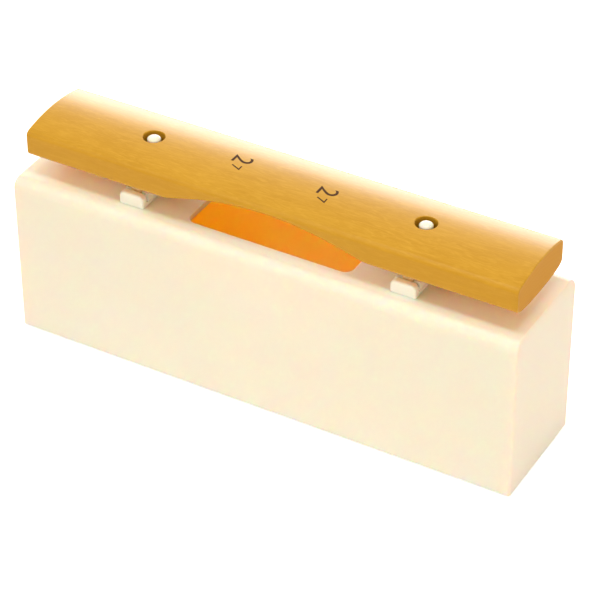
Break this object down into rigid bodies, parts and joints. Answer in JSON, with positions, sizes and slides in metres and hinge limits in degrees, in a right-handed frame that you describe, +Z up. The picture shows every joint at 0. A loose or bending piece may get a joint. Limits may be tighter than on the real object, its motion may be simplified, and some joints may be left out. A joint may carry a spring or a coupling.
{
  "type": "chime bar",
  "caption": "Tuned bar with a crowned top and an arched underside, resting on padded bridges over a hollow moulded resonator box with a sound hole.",
  "frame": {"origin": "on the table surface, below the middle of the box", "axes": "+X along the bar to the player's right, +Y away from the player, +Z up"},
  "size_m": [0.29, 0.0662, 0.1234],
  "materials": {
    "box_plastic": "satin moulded cream plastic",
    "bar_wood": "satin lacquered golden brown wood with fine grain",
    "white_plastic": "satin moulded white plastic",
    "soft_pad": "pale soft elastomer",
    "foot_rubber": "matt dark rubber",
    "screw_steel": "zinc plated"
  },
  "bodies": {
    "stand": {"resonator_box": "box_plastic", "base_plate": "box_plastic", "bridge_left": "white_plastic", "bar_pin_left": "white_plastic", "bar_pad_left_front": "soft_pad", "foot_left_front": "foot_rubber", "bar_pad_left_rear": "soft_pad", "foot_left_rear": "foot_rubber", "bridge_right": "white_plastic", "bar_pin_right": "white_plastic", "bar_pad_right_front": "soft_pad", "foot_right_front": "foot_rubber", "bar_pad_right_rear": "soft_pad", "foot_right_rear": "foot_rubber", "base_screw_left_front": "screw_steel", "base_screw_left_rear": "screw_steel", "base_screw_middle_front": "screw_steel", "base_screw_middle_rear": "screw_steel", "base_screw_right_front": "screw_steel", "base_screw_right_rear": "screw_steel"},
    "bar": {"sound_bar": "bar_wood"}
  },
  "joints": [
    {"name": "bar_lift", "type": "slide", "parent": "stand", "child": "bar", "axis": [0, 0, 1], "range_m": [0, 0.04]}
  ]
}
